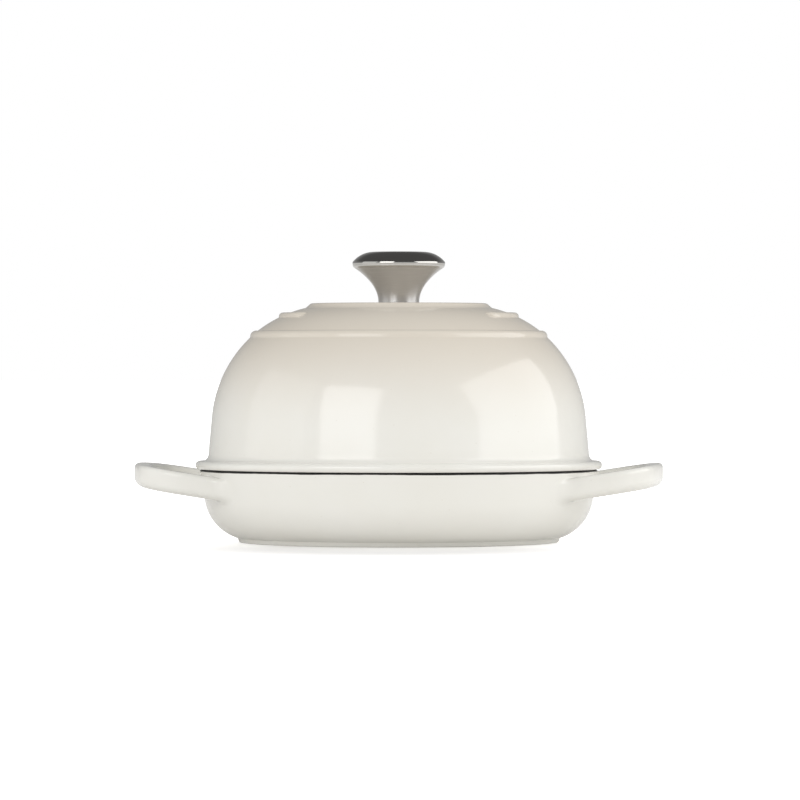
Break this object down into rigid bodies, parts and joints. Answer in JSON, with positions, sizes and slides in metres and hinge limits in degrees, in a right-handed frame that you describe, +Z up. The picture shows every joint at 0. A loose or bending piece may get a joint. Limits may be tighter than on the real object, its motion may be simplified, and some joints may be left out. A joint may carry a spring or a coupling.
{
  "type": "bread cloche",
  "caption": "Shallow round enamelled iron pan with loop handles under a tall domed lid with a metal knob, for baking a loaf in its own steam.",
  "frame": {"origin": "centre of the foot, on the surface that the pan stands on", "axes": "+Z up along the lid's axis, +X through the middle of one handle, -Y towards the front"},
  "size_m": [0.3244, 0.2498, 0.1783],
  "materials": {
    "enamelled_iron": "gloss cream enamel outside, satin black enamel inside",
    "brushed_steel": "brushed",
    "polished_steel": "polished",
    "plated_steel": "zinc plated"
  },
  "bodies": {
    "pan": {"pan": "enamelled_iron"},
    "lid": {"lid": "enamelled_iron", "knob_stem": "brushed_steel", "knob_cap": "polished_steel", "knob_insert": "plated_steel", "knob_screw": "plated_steel", "knob_washer": "plated_steel"}
  },
  "joints": [
    {"name": "lid_lift", "type": "slide", "parent": "pan", "child": "lid", "axis": [0, 0, 1], "range_m": [0, 0.2]}
  ]
}
